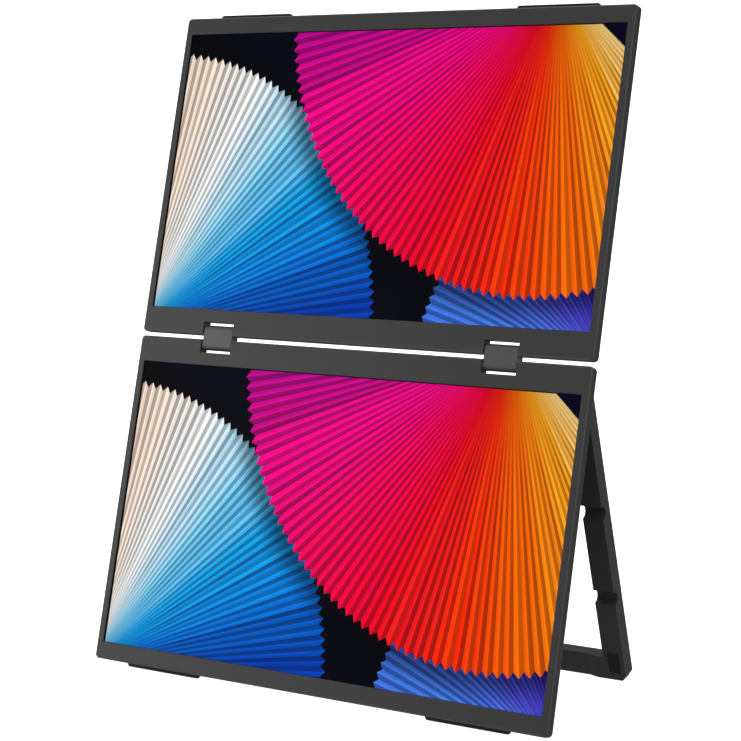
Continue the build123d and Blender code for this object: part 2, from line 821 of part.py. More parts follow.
with BuildPart() as hdmi_socket:
    x, v = hdmi_place
    mouth = across(x * port_mouth)
    for wall in (0, hdmi_shell):
        half_length = hdmi_length / 2 - wall
        half_height = hdmi_height / 2 - wall
        with BuildSketch(mouth):
            with BuildLine():
                Polyline(
                    (v - half_length, half_height - socket_depth),
                    (v + half_length, half_height - socket_depth),
                    (v + half_length, hdmi_foot_cut - half_height - socket_depth),
                    (v + half_length - hdmi_foot_cut, -half_height - socket_depth),
                    (v - half_length + hdmi_foot_cut, -half_height - socket_depth),
                    (v - half_length, hdmi_foot_cut - half_height - socket_depth),
                    close=True,
                )
            make_face()
        if wall:
            extrude(amount=-x * (hdmi_depth - usb_bottom), mode=Mode.SUBTRACT)
        else:
            extrude(amount=-x * hdmi_depth)
    with BuildSketch(across(x * (port_mouth - usb_tongue_sink))):
        with Locations((v, -socket_depth)):
            Rectangle(hdmi_tongue_length, usb_tongue_height)
    extrude(amount=-x * (hdmi_depth - usb_tongue_sink))
save(hdmi_socket, "mini_hdmi_socket")

# Buttons in the left wall, each a cap with a flange inside the wall and a stem over its switch
flange_outer = housing_inner - button_room
flange_inner = flange_outer - button_flange_depth
stem_end = flange_inner - button_stem
tip_end = stem_end - button_travel - switch_gap
for name, v in button_heights.items():
    with BuildPart() as button:
        with BuildSketch(across(-housing_half - button_proud)):
            with Locations((v, -socket_depth)):
                SlotOverall(button_length, button_height)
        extrude(amount=housing_half + button_proud - flange_outer)
        fillet(button.faces().sort_by(Axis.X)[0].edges(), button_room)
        with BuildSketch(across(-flange_outer)):
            with Locations((v, -socket_depth)):
                SlotOverall(button_length + 2 * button_flange, button_height)
        extrude(amount=button_flange_depth)
        with BuildSketch(across(-flange_inner)):
            with Locations((v, -socket_depth)):
                Circle(button_stem_radius)
        extrude(amount=button_stem)
    save(button, name)

with BuildPart() as switches:
    for v in button_heights.values():
        with BuildSketch(across(-tip_end)):
            with Locations((v, -socket_depth)):
                Circle(switch_tip_radius)
        extrude(amount=switch_tip)
        with BuildSketch(across(-tip_end + switch_tip)):
            with Locations((v, -circuit_front + switch_height / 2)):
                Rectangle(switch_length, switch_height)
        extrude(amount=switch_depth)
save(switches, "button_switches")

# Stand: a U-shaped frame whose leg tops are cut to lie on the lower screen's back when open
tip_down = -(leg_half + (leg_half - leg_tip) * cos(opening)) / sin(opening)
below_desk = leg_depth
with BuildPart() as stand:
    with BuildSketch(leg_plane(leg_depth)):
        cut_slope = corner_cut_width / corner_cut_height
        with BuildLine():
            Polyline(
                (-leg_outer, -tip_down),
                (-leg_outer, corner_cut_height - leg_reach),
                (below_desk * cut_slope + corner_cut_width - leg_outer, -leg_reach - below_desk),
                (leg_outer - corner_cut_width - below_desk * cut_slope, -leg_reach - below_desk),
                (leg_outer, corner_cut_height - leg_reach),
                (leg_outer, -tip_down),
                close=True,
            )
        make_face()
        with BuildLine():
            FilletPolyline(
                (-leg_inner, leg_reach),
                (-leg_inner, -bar_top),
                (leg_inner, -bar_top),
                (leg_inner, leg_reach),
                radius=bar_corner_radius,
                close=False,
            )
            Line((leg_inner, leg_reach), (-leg_inner, leg_reach))
        make_face(mode=Mode.SUBTRACT)
    extrude(amount=leg_depth)
    chamfer(stand.faces().sort_by(Axis.Y)[-1].edges(), leg_edge)
    # Side shape: bevelled top, a corner rounded about the pin, and straight faces down to the desk
    with BuildSketch(across(-leg_outer)):
        with BuildLine():
            corner = CenterArc((pivot_v, -pivot_depth), leg_half, 90, stand_angle)
            Polyline(
                corner @ 1,
                leg_point(leg_reach + below_desk, 0),
                leg_point(leg_reach + below_desk, leg_depth),
                leg_point(tip_down, leg_depth),
                leg_point(tip_down, leg_depth - leg_tip),
                corner @ 0,
            )
        make_face()
    extrude(amount=2 * leg_outer, mode=Mode.INTERSECT)
    split(bisect_by=Plane.XY.offset(strip_proud), keep=Keep.TOP)
    # The crossbar's recessed front
    recess = Plane(
        leg_plane(0).from_local_coords((0, -bar_top + leg_depth, 0)),
        x_dir=screens.x_dir,
        z_dir=leg_plane(0).y_dir,
    )
    with BuildSketch(recess):
        with BuildLine():
            Polyline(
                (-bar_flat - bar_ramp, 0),
                (-bar_flat, bar_recess),
                (bar_flat, bar_recess),
                (bar_flat + bar_ramp, 0),
                close=True,
            )
        make_face()
    extrude(amount=-2 * leg_depth - bar_height, mode=Mode.SUBTRACT)
    # Cable channels, pin bores, pad pockets and the groove under the crossbar
    for x in (-leg_outer, leg_inner):
        with BuildSketch(across(x)):
            with Locations(leg_point(channel_first, 0), leg_point(channel_first + channel_pitch, 0)):
                Circle(channel_radius)
        extrude(amount=leg_width, mode=Mode.SUBTRACT)
    for x in (-1, 1):
        bore_length = pin_depth_in_leg + pin_end_room
        with BuildSketch(across(min(x * leg_inner, x * (leg_inner + bore_length)))):
            with Locations((pivot_v, -pivot_depth)):
                Circle(pin_radius + pin_fit)
        extrude(amount=bore_length, mode=Mode.SUBTRACT)
    pad_x = leg_outer - pad_outer_room - pad_width / 2
    pad_y = pad_lift + pad_height / 2 - leg_reach
    with BuildSketch(leg_plane(0)):
        with Locations((-pad_x, pad_y), (pad_x, pad_y)):
            Rectangle(pad_width + 2 * pad_fit, pad_height + 2 * pad_fit)
    extrude(amount=-pad_sink, mode=Mode.SUBTRACT)
    strip_y = (screens.from_local_coords((0, *leg_point(leg_reach, (bar_recess + leg_depth) / 2)))).Y
    strip_length = 2 * (leg_outer - strip_end_room)
    with BuildSketch(Plane.XY.offset(strip_proud)):
        with Locations((0, strip_y)):
            Rectangle(strip_length + 2 * strip_fit, strip_width + 2 * strip_fit)
    extrude(amount=strip_sink, mode=Mode.SUBTRACT)
save(stand, "stand_frame")

with BuildPart() as pads:
    with BuildSketch(leg_plane(pad_sink)):
        with Locations((-pad_x, pad_y), (pad_x, pad_y)):
            Rectangle(pad_width, pad_height)
    extrude(amount=pad_sink + pad_proud)
save(pads, "stand_pads")

with BuildPart() as foot_strip:
    with BuildSketch():
        with Locations((0, strip_y)):
            Rectangle(strip_length, strip_width)
    extrude(amount=strip_proud + strip_sink)
save(foot_strip, "stand_foot_strip")

# Stand pins pressed into the housing, with a washer on each between housing and leg
pin_inner = housing_inner - pin_boss_length
pin_length = leg_inner + pin_depth_in_leg - pin_inner
with BuildPart() as pins:
    for x in (-1, 1):
        with BuildSketch(across(min(x * pin_inner, x * (pin_inner + pin_length)))):
            with Locations((pivot_v, -pivot_depth)):
                Circle(pin_radius)
        extrude(amount=pin_length)
save(pins, "stand_pins")

with BuildPart() as washers:
    washer_thick = housing_side_gap - 2 * washer_gap
    washer_inner = housing_half + washer_gap
    for x in (-1, 1):
        with BuildSketch(across(min(x * washer_inner, x * (washer_inner + washer_thick)))):
            with Locations((pivot_v, -pivot_depth)):
                Circle(washer_radius)
                Circle(pin_radius + pin_fit, mode=Mode.SUBTRACT)
        extrude(amount=washer_thick)
save(washers, "stand_washers")
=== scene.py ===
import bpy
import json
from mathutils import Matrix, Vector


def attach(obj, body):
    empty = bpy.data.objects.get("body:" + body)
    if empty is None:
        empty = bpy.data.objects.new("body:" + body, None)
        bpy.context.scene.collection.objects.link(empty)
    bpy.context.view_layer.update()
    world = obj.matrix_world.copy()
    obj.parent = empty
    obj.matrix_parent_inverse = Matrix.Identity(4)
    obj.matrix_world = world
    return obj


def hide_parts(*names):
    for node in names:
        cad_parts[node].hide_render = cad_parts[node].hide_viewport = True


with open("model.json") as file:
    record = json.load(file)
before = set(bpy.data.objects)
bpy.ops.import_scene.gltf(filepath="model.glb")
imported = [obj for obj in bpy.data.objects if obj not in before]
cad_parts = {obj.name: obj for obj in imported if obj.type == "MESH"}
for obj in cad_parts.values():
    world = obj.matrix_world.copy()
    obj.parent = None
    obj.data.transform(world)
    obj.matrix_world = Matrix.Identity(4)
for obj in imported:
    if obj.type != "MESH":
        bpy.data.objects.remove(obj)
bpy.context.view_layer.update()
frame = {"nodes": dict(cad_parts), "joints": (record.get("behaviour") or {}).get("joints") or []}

import json
import math

import bpy
import numpy as np

# Display glass: two sheets of thin glass with the liquid crystal between them, behind a matt film,
# glued under each bezel's lip. It is the lit face of the object, so its finish is the picture that
# it shows. The screens' own frame comes from the hinge shafts: right, up the screens, and out.
shaft_depth = 0.0041
shafts = {joint["name"]: np.array(joint["pos_m"]) for joint in frame["joints"] if "pos_m" in joint}
right = np.array([1.0, 0.0, 0.0])
up = shafts["upper_hinge"] - shafts["lower_hinge"]
up = up / np.linalg.norm(up)
out = np.cross(right, up)
gap_middle = (shafts["upper_hinge"] + shafts["lower_hinge"]) / 2 + shaft_depth * out


class Wire:
    """One value in a finish's node tree.

    + - * / between values, or a value and a number, add Math nodes. node() adds any other node.
    """

    def __init__(self, tree, socket=None):
        self.tree = tree
        self.socket = socket

    def node(self, kind, links=(), result=0, stops=None, **settings):
        """Add a node of that kind with its settings, then fill its sockets from links."""
        made = self.tree.nodes.new("ShaderNode" + kind)
        for name, value in settings.items():
            setattr(made, name, value)
        if stops:
            ramp = made.color_ramp.elements
            while len(ramp) < len(stops):
                ramp.new(1.0)
            for element, (place, colour) in zip(ramp, stops):
                element.position = place
                element.color = (*colour, 1.0)
        for name, value in dict(links).items():
            if isinstance(value, Wire):
                self.tree.links.new(value.socket, made.inputs[name])
            else:
                made.inputs[name].default_value = value
        return Wire(self.tree, made.outputs[result])

    def maths(self, operation, *others):
        """A Math node with this value first."""
        return self.node("Math", enumerate((self, *others)), operation=operation)

    def __add__(self, other):
        return self.maths("ADD", other)

    def __sub__(self, other):
        return self.maths("SUBTRACT", other)

    def __rsub__(self, other):
        return self.node("Math", {0: other, 1: self}, operation="SUBTRACT")

    def __mul__(self, other):
        return self.maths("MULTIPLY", other)

    def __truediv__(self, other):
        return self.maths("DIVIDE", other)

    __radd__ = __add__
    __rmul__ = __mul__

    def ease(self, low, high):
        """0 below low, 1 above high, and a smooth step between."""
        limits = {"Value": self, "From Min": low, "From Max": high}
        return self.node("MapRange", limits, interpolation_type="SMOOTHSTEP")

    def blend(self, first, second):
        """The colour first where this value is 0 and second where it is 1."""
        return self.node("Mix", {0: self, 6: first, 7: second}, 2, data_type="RGBA")


def linear(red, green, blue):
    """Scene colour of a colour as seen on a screen, in 0 to 255."""
    seen = np.array([red, green, blue]) / 255
    return tuple(np.where(seen > 0.04045, ((seen + 0.055) / 1.055) ** 2.4, seen / 12.92))


def new_finish(name):
    """A new material: itself, its shader, and the place on the piece in millimetres."""
    material = bpy.data.materials.new(name)
    material.use_nodes = True
    shader = Wire(material.node_tree)
    shader.inputs = material.node_tree.nodes["Principled BSDF"].inputs
    metres = shader.node("TexCoord", result="Object")
    place = shader.node("VectorMath", {0: metres, "Scale": 1000.0}, operation="SCALE")
    return material, shader, place


def feed(shader, **values):
    """Link or set the shader's sockets: Base_Color stands for Base Color, and so on."""
    for name, value in values.items():
        socket = shader.inputs[name.replace("_", " ")]
        if isinstance(value, Wire):
            shader.tree.links.new(value.socket, socket)
        else:
            socket.default_value = value


def along(place, direction):
    """Distance of a place from the middle of the gap, in millimetres, along a direction."""
    middle = tuple(gap_middle * 1000)
    from_gap = place.node("VectorMath", {0: place, 1: middle}, operation="SUBTRACT")
    way = {0: from_gap, 1: tuple(direction)}
    return from_gap.node("VectorMath", way, "Value", operation="DOT_PRODUCT")


def dress(material, *names):
    """Give CAD nodes their finish."""
    for name in names:
        mesh = frame["nodes"][name].data
        mesh.materials.clear()
        mesh.materials.append(material)


def paper_fan(under, x, y, centre, reach, opening, pleats, colours):
    """Lay a pleated paper fan over the picture so far.

    In polar form about the fan's centre: the angle, as a share of the opening, runs through the
    colours and counts the pleats, each with a lit side, a glint and a shaded side. The radius gives
    the zigzag rim and the dark root, where the pleats lie too close to show. The outline, moved down
    and left and blurred, is the shadow that falls on what is under.
    """
    first, last = opening
    across = x - centre[0]
    above = y - centre[1]
    radius = (across * across + above * above).maths("SQRT")
    share = (above.maths("ARCTAN2", across) - math.radians(first)) / math.radians(last - first)
    fold = share * pleats
    step = fold.maths("FRACT")
    luck = fold.node("TexWhiteNoise", {"W": fold.maths("FLOOR")}, noise_dimensions="1D") - 0.5
    ridge = (step - 0.5).maths("ABSOLUTE") * 2
    crisp = (radius / reach).ease(0.14, 0.44)
    glint = step.ease(0.30, 0.38) - step.ease(0.42, 0.47)
    light = 1.0 - crisp * (0.46 * step.ease(0.42, 0.58) + 0.14 * ridge - 0.20 * luck - 0.24 * glint)
    light = light * (0.50 + 0.50 * (radius / reach).ease(0.0, 0.5))
    stops = [(i / (len(colours) - 1), linear(*c)) for i, c in enumerate(colours)]
    colour = share.node("ValToRGB", {0: share + 0.05 * crisp * luck}, stops=stops)
    lit = colour.node("VectorMath", {0: colour, "Scale": light}, operation="SCALE")
    shadow_side, shadow_drop = 3, 5
    beside = across + shadow_side
    below = above + shadow_drop
    spread = (beside * beside + below * below).maths("SQRT") - reach
    shade = 0.7 - 0.7 * spread.ease(-6.0, 16.0)
    dimmed = shade.blend(under, (0.0, 0.0, 0.002, 1.0))
    inside = (reach - 0.02 * reach * ridge - radius).ease(-0.35, 0.35)
    spanned = share.ease(0.0, 0.002) - share.ease(0.998, 1.0)
    return (inside * spanned).blend(dimmed, lit)


window = (345.0, 194.4)
window_middle = 116.6
# The glass's black border: the screen's own mask, made wider on the left and at the top as painted
# shade of the bezel's lip walls.
dark_left, dark_right, dark_bottom, dark_top = 1.1, 0.3, 0.1, 0.45
night = [(0.0, linear(2, 3, 22)), (0.5, linear(0, 0, 3)), (1.0, linear(4, 8, 54))]
violets = [(18, 8, 84), (58, 22, 168), (82, 84, 226), (70, 130, 242), (40, 50, 180)]
blues = [(2, 14, 96), (0, 58, 172), (0, 116, 220), (16, 172, 246), (132, 218, 255), (250, 254, 255),
         (252, 228, 208), (196, 160, 172)]
embers = [(104, 0, 140), (192, 0, 140), (252, 0, 138), (255, 0, 92), (246, 0, 36), (255, 44, 0),
          (255, 114, 0), (255, 172, 28), (255, 222, 142)]
fans = (((196, -128), 150, (84, 186), 40, violets),
        ((-186, -116), 200, (-6, 96), 52, blues),
        ((120, 126), 206, (-186, -40), 70, embers))
for name, side in (("upper", 1), ("lower", -1)):
    material, shader, place = new_finish(f"{name}_display_glass")
    x = along(place, right)
    y = along(place, up) - side * window_middle
    dusk = (y / window[1] + x / window[0] + 1.0) / 2
    picture = dusk.node("ValToRGB", {0: dusk}, stops=night)
    for centre, reach, opening, pleats, colours in fans:
        picture = paper_fan(picture, x, y, centre, reach, opening, pleats, colours)
    # Outside the lit area the glass is black: the screen's border, and on the left and top painted
    # shade.
    in_x = (x + window[0] / 2 - dark_left).maths("MINIMUM", window[0] / 2 - dark_right - x)
    in_y = (y + window[1] / 2 - dark_bottom).maths("MINIMUM", window[1] / 2 - dark_top - y)
    lit_area = in_x.maths("MINIMUM", in_y).ease(-0.1, 0.1)
    film = place.node("TexNoise", {"Vector": place, "Scale": 6.0, "Detail": 2.0})
    relief = film.node("Bump", {"Strength": 0.08, "Distance": 0.00002, "Height": film})
    feed(shader, Base_Color=(0.002, 0.002, 0.0025, 1.0), Roughness=0.30 + 0.08 * film, Normal=relief,
         Emission_Color=lit_area.blend((0.0, 0.0, 0.0, 1.0), picture), Emission_Strength=1.0)
    feed(shader, Specular_IOR_Level=0.012)
    dress(material, f"{name}_screen")

# Backlights: a clear acrylic light guide and its films in a white moulded frame, stuck to the back
# of the glass. Printed dots of one size lie evenly over the guide.
material, shader, place = new_finish("backlight_frame")
dots = place.node("TexVoronoi", {"Vector": place, "Scale": 0.7, "Randomness": 0.2})
printed = 1 - dots.ease(0.22, 0.30)
cloud = place.node("TexNoise", {"Vector": place, "Scale": 0.05, "Detail": 2.0})
feed(shader, Base_Color=(printed * 0.25).blend((0.70, 0.71, 0.74, 1.0), (0.93, 0.94, 0.95, 1.0)),
     Roughness=0.34 + 0.2 * cloud, Coat_Weight=0.15 * printed)
dress(material, "upper_backlight", "lower_backlight")

# Bezels: the front frames, moulded in a dark grey plastic with a fine satin grain, the window
# bevelled and the rim rounded over, with a painted highlight laid along the rounded rim. The walls
# of the lip that holds the glass are painted near black as shade, except along the foot of each
# window.


def moulded(name, seen, rough, grain, relief, gloss=0.3, mottle=0.05):
    """Finish of a spark-eroded plastic moulding: the material, its shader, place and colour.

    The grain is noise of that size in millimetres, raised by relief; the colour drifts slowly over
    the piece, the grain's tops are paler, and rounded edges are a little glossier and painted a
    little brighter, partly as wear and partly as a painted highlight.
    """
    material, shader, place = new_finish(name)
    tooth = {"Vector": place, "Scale": 1 / grain, "Detail": 3.0, "Roughness": 0.6}
    fine = place.node("TexNoise", tooth)
    slow = place.node("TexNoise", {"Vector": place, "Scale": 0.025, "Detail": 2.0})
    rounded = place.node("Bevel", {"Radius": 0.0004}, samples=4)
    flat = place.node("NewGeometry", result="Normal")
    bend = rounded.node("VectorMath", {0: rounded, 1: flat}, "Value", operation="DOT_PRODUCT")
    # Edges found by the bevel: a little glossier, and painted brighter, partly wear and partly
    # painted highlight.
    edge_wear_and_sheen = (1 - bend).ease(0.02, 0.35)
    base = np.array(linear(*seen))
    drift = 0.5 * fine + 0.5 * slow
    colour = drift.blend((*base * (1 - 2 * mottle), 1.0), (*base * (1 + 2 * mottle), 1.0))
    wear_and_sheen_colour = (edge_wear_and_sheen * 0.25).blend(colour, (*base * 2.2 + 0.01, 1.0))
    raised = {"Strength": 0.5, "Distance": relief / 1000, "Height": fine, "Normal": rounded}
    feed(shader, Base_Color=wear_and_sheen_colour, Roughness=rough + 0.12 * (fine - 0.5) - 0.08 * edge_wear_and_sheen,
         Normal=fine.node("Bump", raised))
    feed(shader, Specular_IOR_Level=gloss)
    return material, shader, place, wear_and_sheen_colour


rim_side, rim_end, rim_gap = 177.95, 225.7, 1.4
material, shader, place, wear_and_sheen_colour = moulded("bezel_satin", (45, 45, 46), 0.46, 0.22, 0.010, gloss=0.24)
x, y = along(place, right), along(place, up)
depth = along(place, out) * -1
height = y.maths("ABSOLUTE")
from_side = rim_side - x.maths("ABSOLUTE")
from_end = (rim_end - height).maths("MINIMUM", height - rim_gap)
from_foot = y.maths("SIGN") * (height - (rim_end + rim_gap) / 2) + (rim_end - rim_gap) / 2
shallow = 1 - depth.ease(0.9, 1.5)
# Painted highlights: a paler grey laid over the rounding of the rims at the sides, the foot and the
# ends.
rim_highlighted = wear_and_sheen_colour
for from_rim, start, share, grey in ((from_side, 0.5, 0.6, 66), (from_foot, 1.1, 1.0, 55),
                                     (from_end, 0.5, 0.85, 76)):
    rim_highlight = (1 - from_rim.ease(start, start + 0.8)) * shallow
    rim_highlighted = (rim_highlight * share).blend(rim_highlighted, (*linear(grey, grey, grey + 1), 1.0))
# Painted shade: the walls of the lip inside the window are coloured near black, all but the lit foot.
in_x = window[0] / 2 + 0.2 - x.maths("ABSOLUTE")
in_y = window[1] / 2 + 0.2 - (height - window_middle).maths("ABSOLUTE")
foot = (y.maths("SIGN") * (height - window_middle)).ease(-window[1] / 2 + 0.3, -window[1] / 2 + 0.5)
lip_shade = in_x.maths("MINIMUM", in_y).ease(-0.05, 0.05) * depth.ease(0.25, 0.45) * foot
feed(shader, Base_Color=lip_shade.blend(rim_highlighted, (0.002, 0.002, 0.002, 1.0)))
dress(material, "upper_bezel", "lower_bezel")

# Rear covers: trays moulded in the same plastic with a coarser matt grain, screwed to the bezels
# from behind, with walls round the hinge notches and grooves for the rubber strips.
cover_grain, *_ = moulded("cover_grain", (42, 42, 43), 0.55, 0.45, 0.022)
dress(cover_grain, "upper_rear_cover", "lower_rear_cover")

# Driver boards: green lacquer over copper tracks on glass cloth, with black chips standing on them,
# laid on the covers' floors. The two circuit boards in the housing are made the same way.
material, shader, place = new_finish("board_lacquer")
tracks = place.node("TexBrick", {"Vector": place, "Scale": 0.35, "Mortar Size": 0.05}, "Fac")
weave = place.node("TexNoise", {"Vector": place, "Scale": 3.0, "Detail": 2.0})
lacquer = tracks.blend((*linear(18, 70, 44), 1.0), (*linear(26, 96, 58), 1.0))
feed(shader, Base_Color=lacquer, Roughness=0.30 + 0.15 * weave, Coat_Weight=0.3 * weave)
dress(material, "upper_driver_board", "lower_driver_board", "input_board", "control_board")

# Hinge metal: turned steel shafts, stamped brackets with curled knuckles, and spring-steel clips
# that grip the shafts. The stand's pins are turned from the same bar.


def steel(name, colour, rough, stretch):
    """Finish of drawn or turned steel: streaks of noise, stretched by a scale along each axis."""
    material, shader, place = new_finish(name)
    drawn = place.node("Mapping", {"Vector": place, "Scale": stretch})
    streaks = drawn.node("TexNoise", {"Vector": drawn, "Scale": 1.0, "Detail": 4.0})
    tint = streaks.blend((*np.array(colour) * 0.82, 1.0), (*colour, 1.0))
    scratched = {"Strength": 0.25, "Distance": 0.00001, "Height": streaks}
    feed(shader, Base_Color=tint, Roughness=rough + 0.2 * (streaks - 0.5), Metallic=1.0,
         Normal=streaks.node("Bump", scratched))
    return material


turned = steel("turned_steel", (0.60, 0.61, 0.63), 0.28, (14.0, 0.3, 0.3))
stamped = steel("stamped_steel", (0.55, 0.55, 0.54), 0.38, (0.4, 6.0, 6.0))
dress(turned, "upper_hinge_shafts", "lower_hinge_shafts", "stand_pins")
dress(stamped, "upper_hinge_brackets", "lower_hinge_brackets", "hinge_friction_clips")

# Hinge shells: the two halves of each hinge block, moulded a shade lighter with a satin face and
# clamped round the shafts by screws from behind.
hinge_satin, *_ = moulded("hinge_satin", (66, 66, 66), 0.38, 0.25, 0.008)
dress(hinge_satin, "hinge_front_shells", "hinge_rear_shells")

# Rubber: strips pressed into the screens' outer edges, pads let into the stand's feet, and the long
# strip under the stand's bar that grips the desk. Moulded dull, with a fine pitted skin.


def rubbered(name, seen, grain):
    """Finish of moulded rubber: dull, pitted by noise, with dust caught on the raised grain."""
    material, shader, place = new_finish(name)
    pits = place.node("TexNoise", {"Vector": place, "Scale": 1 / grain, "Detail": 4.0})
    dust = place.node("TexNoise", {"Vector": place, "Scale": 0.12, "Detail": 3.0})
    base = np.array(linear(*seen))
    caught = dust.ease(0.5, 0.8) * pits * 0.3
    rounded = place.node("Bevel", {"Radius": 0.0003}, samples=4)
    raised = {"Strength": 0.6, "Distance": 0.00003, "Height": pits, "Normal": rounded}
    feed(shader, Base_Color=caught.blend((*base, 1.0), (*base * 2.5 + 0.006, 1.0)),
         Roughness=0.72 + 0.15 * (pits - 0.5), Normal=pits.node("Bump", raised))
    feed(shader, Specular_IOR_Level=0.2)
    return material


dress(rubbered("edge_rubber", (24, 24, 24), 0.30), "upper_edge_feet", "lower_edge_feet")
dress(rubbered("stand_rubber", (24, 24, 24), 0.25), "stand_pads", "stand_foot_strip")

# Sockets: shells drawn from thin plated steel, soldered to the boards behind the housing's walls,
# each with a black nylon tongue inside that carries gold-plated contacts.
port_middle = -123.2
port_spacing = 58.6
port_depth = 10.9
port_mouth = 159.85
for name, tongue, pitch in (("usb_c_sockets", 6.7, 0.5), ("mini_hdmi_socket", 8.0, 0.4)):
    material, shader, place = new_finish(f"{name}_metal")
    drawn = place.node("Mapping", {"Vector": place, "Scale": (0.5, 5.0, 5.0)})
    streaks = drawn.node("TexNoise", {"Vector": drawn, "Scale": 1.0, "Detail": 4.0})
    off_middle = (along(place, up) - port_middle).maths("ABSOLUTE") - port_spacing / 2
    off_plane = (along(place, out) + port_depth).maths("ABSOLUTE")
    inward = port_mouth - along(place, right).maths("ABSOLUTE")
    across_tongue = off_middle.maths("ABSOLUTE")
    nylon = (1 - off_plane.ease(0.36, 0.38)) * (1 - across_tongue.ease(tongue / 2, tongue / 2 + 0.02))
    nylon = nylon * inward.ease(0.9, 0.95)
    strip = ((off_middle / pitch).maths("FRACT") - 0.5).maths("ABSOLUTE")
    gold = nylon * (1 - strip.ease(0.24, 0.30)) * off_plane.ease(0.33, 0.345)
    gold = gold * inward.ease(1.2, 1.3) * (1 - across_tongue.ease(tongue / 2 - 0.5, tongue / 2 - 0.4))
    plate = streaks.blend((0.52, 0.51, 0.49, 1.0), (0.66, 0.65, 0.62, 1.0))
    shell = nylon.blend(plate, (0.006, 0.006, 0.006, 1.0))
    feed(shader, Base_Color=gold.blend(shell, (0.80, 0.55, 0.18, 1.0)),
         Metallic=1 - nylon + gold, Roughness=0.26 + 0.12 * streaks + 0.15 * nylon)
    dress(material, name)

# Buttons: small slotted caps in the housing's left wall, glossier than the wall from the polished
# mould, with the switches' black bodies behind them.
button_satin, *_ = moulded("button_satin", (30, 30, 31), 0.34, 0.18, 0.005)
switch_body, *_ = moulded("switch_body", (20, 20, 20), 0.50, 0.20, 0.006)
dress(button_satin, "power_button", "up_button", "down_button")
dress(switch_body, "button_switches")

# Electronics housing: a shallow moulded cap over the boards, with vents, sockets and buttons, held
# to the lower cover by screws in deep wells.
housing_grain, *_ = moulded("housing_grain", (40, 40, 41), 0.56, 0.45, 0.024)
dress(housing_grain, "electronics_housing")

# Screws: small cross-head screws with a pressed recess and a rolled thread, blackened where they
# show and zinc plated inside. They clamp the covers, the hinge shells, the housing and the boards.
blackened = steel("blackened_screw", (0.035, 0.035, 0.037), 0.36, (5.0, 5.0, 5.0))
plated = steel("plated_screw", (0.62, 0.60, 0.54), 0.30, (5.0, 5.0, 5.0))
head_depth = 0.7
lump_reach = 4.5
around = np.linspace(0, 2 * np.pi, 48, endpoint=False)


def cross_head(length):
    """One screw about its own axis, as rings of points: x, y and height above the head's top.

    The profile runs out over the crowned head, down its rim and along the shank to the tip. The
    recess is two crossed grooves, each a smooth step in the distance from its middle line and from
    its end. The thread is a triangle wave of the radius in height less angle over one turn.
    """
    head_radius, shank_radius, pitch, tooth = 1.8, 1.0, 0.45, 0.14
    crown = np.linspace(0.02, head_radius - 0.2, 16)
    rim = np.linspace(0, np.pi / 2, 5)
    shank = np.arange(head_depth, length - 0.3, pitch / 4)
    radius = np.concatenate([crown, head_radius - 0.2 + 0.2 * np.sin(rim), [head_radius],
                             np.full(len(shank), shank_radius), [0.5, 0.02]])[:, None]
    height = -np.concatenate([np.zeros(16), 0.2 - 0.2 * np.cos(rim), [head_depth], shank,
                              [length, length]])[:, None]
    wave = np.abs(((height / pitch - around / (2 * np.pi)) % 1) * 2 - 1)
    threaded = (height < -head_depth - 0.01) & (radius > 0.9)
    radius = radius - tooth * wave * threaded
    x, y = radius * np.cos(around), radius * np.sin(around)
    narrow, wide = np.minimum(abs(x), abs(y)), np.maximum(abs(x), abs(y))
    groove = np.clip((0.32 - narrow) / 0.12, 0, 1) * np.clip((1.15 - wide) / 0.25, 0, 1)
    sunk = 0.42 * groove * (height > -0.01)
    return np.stack([x, y, height + 0 * x - sunk], -1)


def screw_set(name, node, body, facing, finish):
    """Stand a screw at each lump of a CAD node, turned by chance, its head looking along facing."""
    flat = np.array([corner.co for corner in frame["nodes"][node].data.vertices]) * 1000
    level = flat @ out
    top, tip = (level.max(), level.min()) if facing > 0 else (level.min(), level.max())
    flat = np.stack([flat @ right, flat @ up], -1)
    middles = []
    while len(flat):
        lump = np.linalg.norm(flat - flat[0], axis=1) < lump_reach
        middles.append((flat[lump].min(0) + flat[lump].max(0)) / 2)
        flat = flat[~lump]
    middles = np.array(middles)
    shape = cross_head(abs(top - tip))
    turn = np.arange(len(middles))[:, None, None] * 0.7
    x = shape[..., 0] * np.cos(turn) - shape[..., 1] * np.sin(turn)
    y = shape[..., 0] * np.sin(turn) + shape[..., 1] * np.cos(turn)
    x = middles[:, 0, None, None] + x * facing
    y = middles[:, 1, None, None] + y
    points = x[..., None] * right + y[..., None] * up
    points = (points + (top + facing * shape[..., 2])[..., None] * out) / 1000
    count, rings, steps = points.shape[:3]
    index = np.arange(count * rings * steps).reshape(count, rings, steps)
    turned_on = np.roll(index, -1, 2)
    quads = np.stack([index[:, :-1], index[:, 1:], turned_on[:, 1:], turned_on[:, :-1]], -1)
    mesh = bpy.data.meshes.new(name)
    caps = [ring.tolist() for ring in index[:, 0]] + [ring[::-1].tolist() for ring in index[:, -1]]
    mesh.from_pydata(points.reshape(-1, 3), [], quads.reshape(-1, 4).tolist() + caps)
    mesh.polygons.foreach_set("use_smooth", np.ones(len(mesh.polygons), bool))
    mesh.materials.append(finish)
    screws = bpy.data.objects.new(name, mesh)
    bpy.context.scene.collection.objects.link(screws)
    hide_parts(node)
    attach(screws, body)


for name in ("upper", "lower"):
    body = f"{name}_display"
    screw_set(f"{name}_cover_screws", f"{name}_case_screws", body, -1, blackened)
    screw_set(f"{name}_leaf_screws", f"{name}_bracket_screws", body, 1, plated)
screw_set("hinge_clamp_screws", "hinge_shell_screws", "hinge_links", -1, blackened)
screw_set("housing_well_screws", "housing_screws", "lower_display", -1, blackened)
screw_set("circuit_screws", "board_screws", "lower_display", 1, plated)

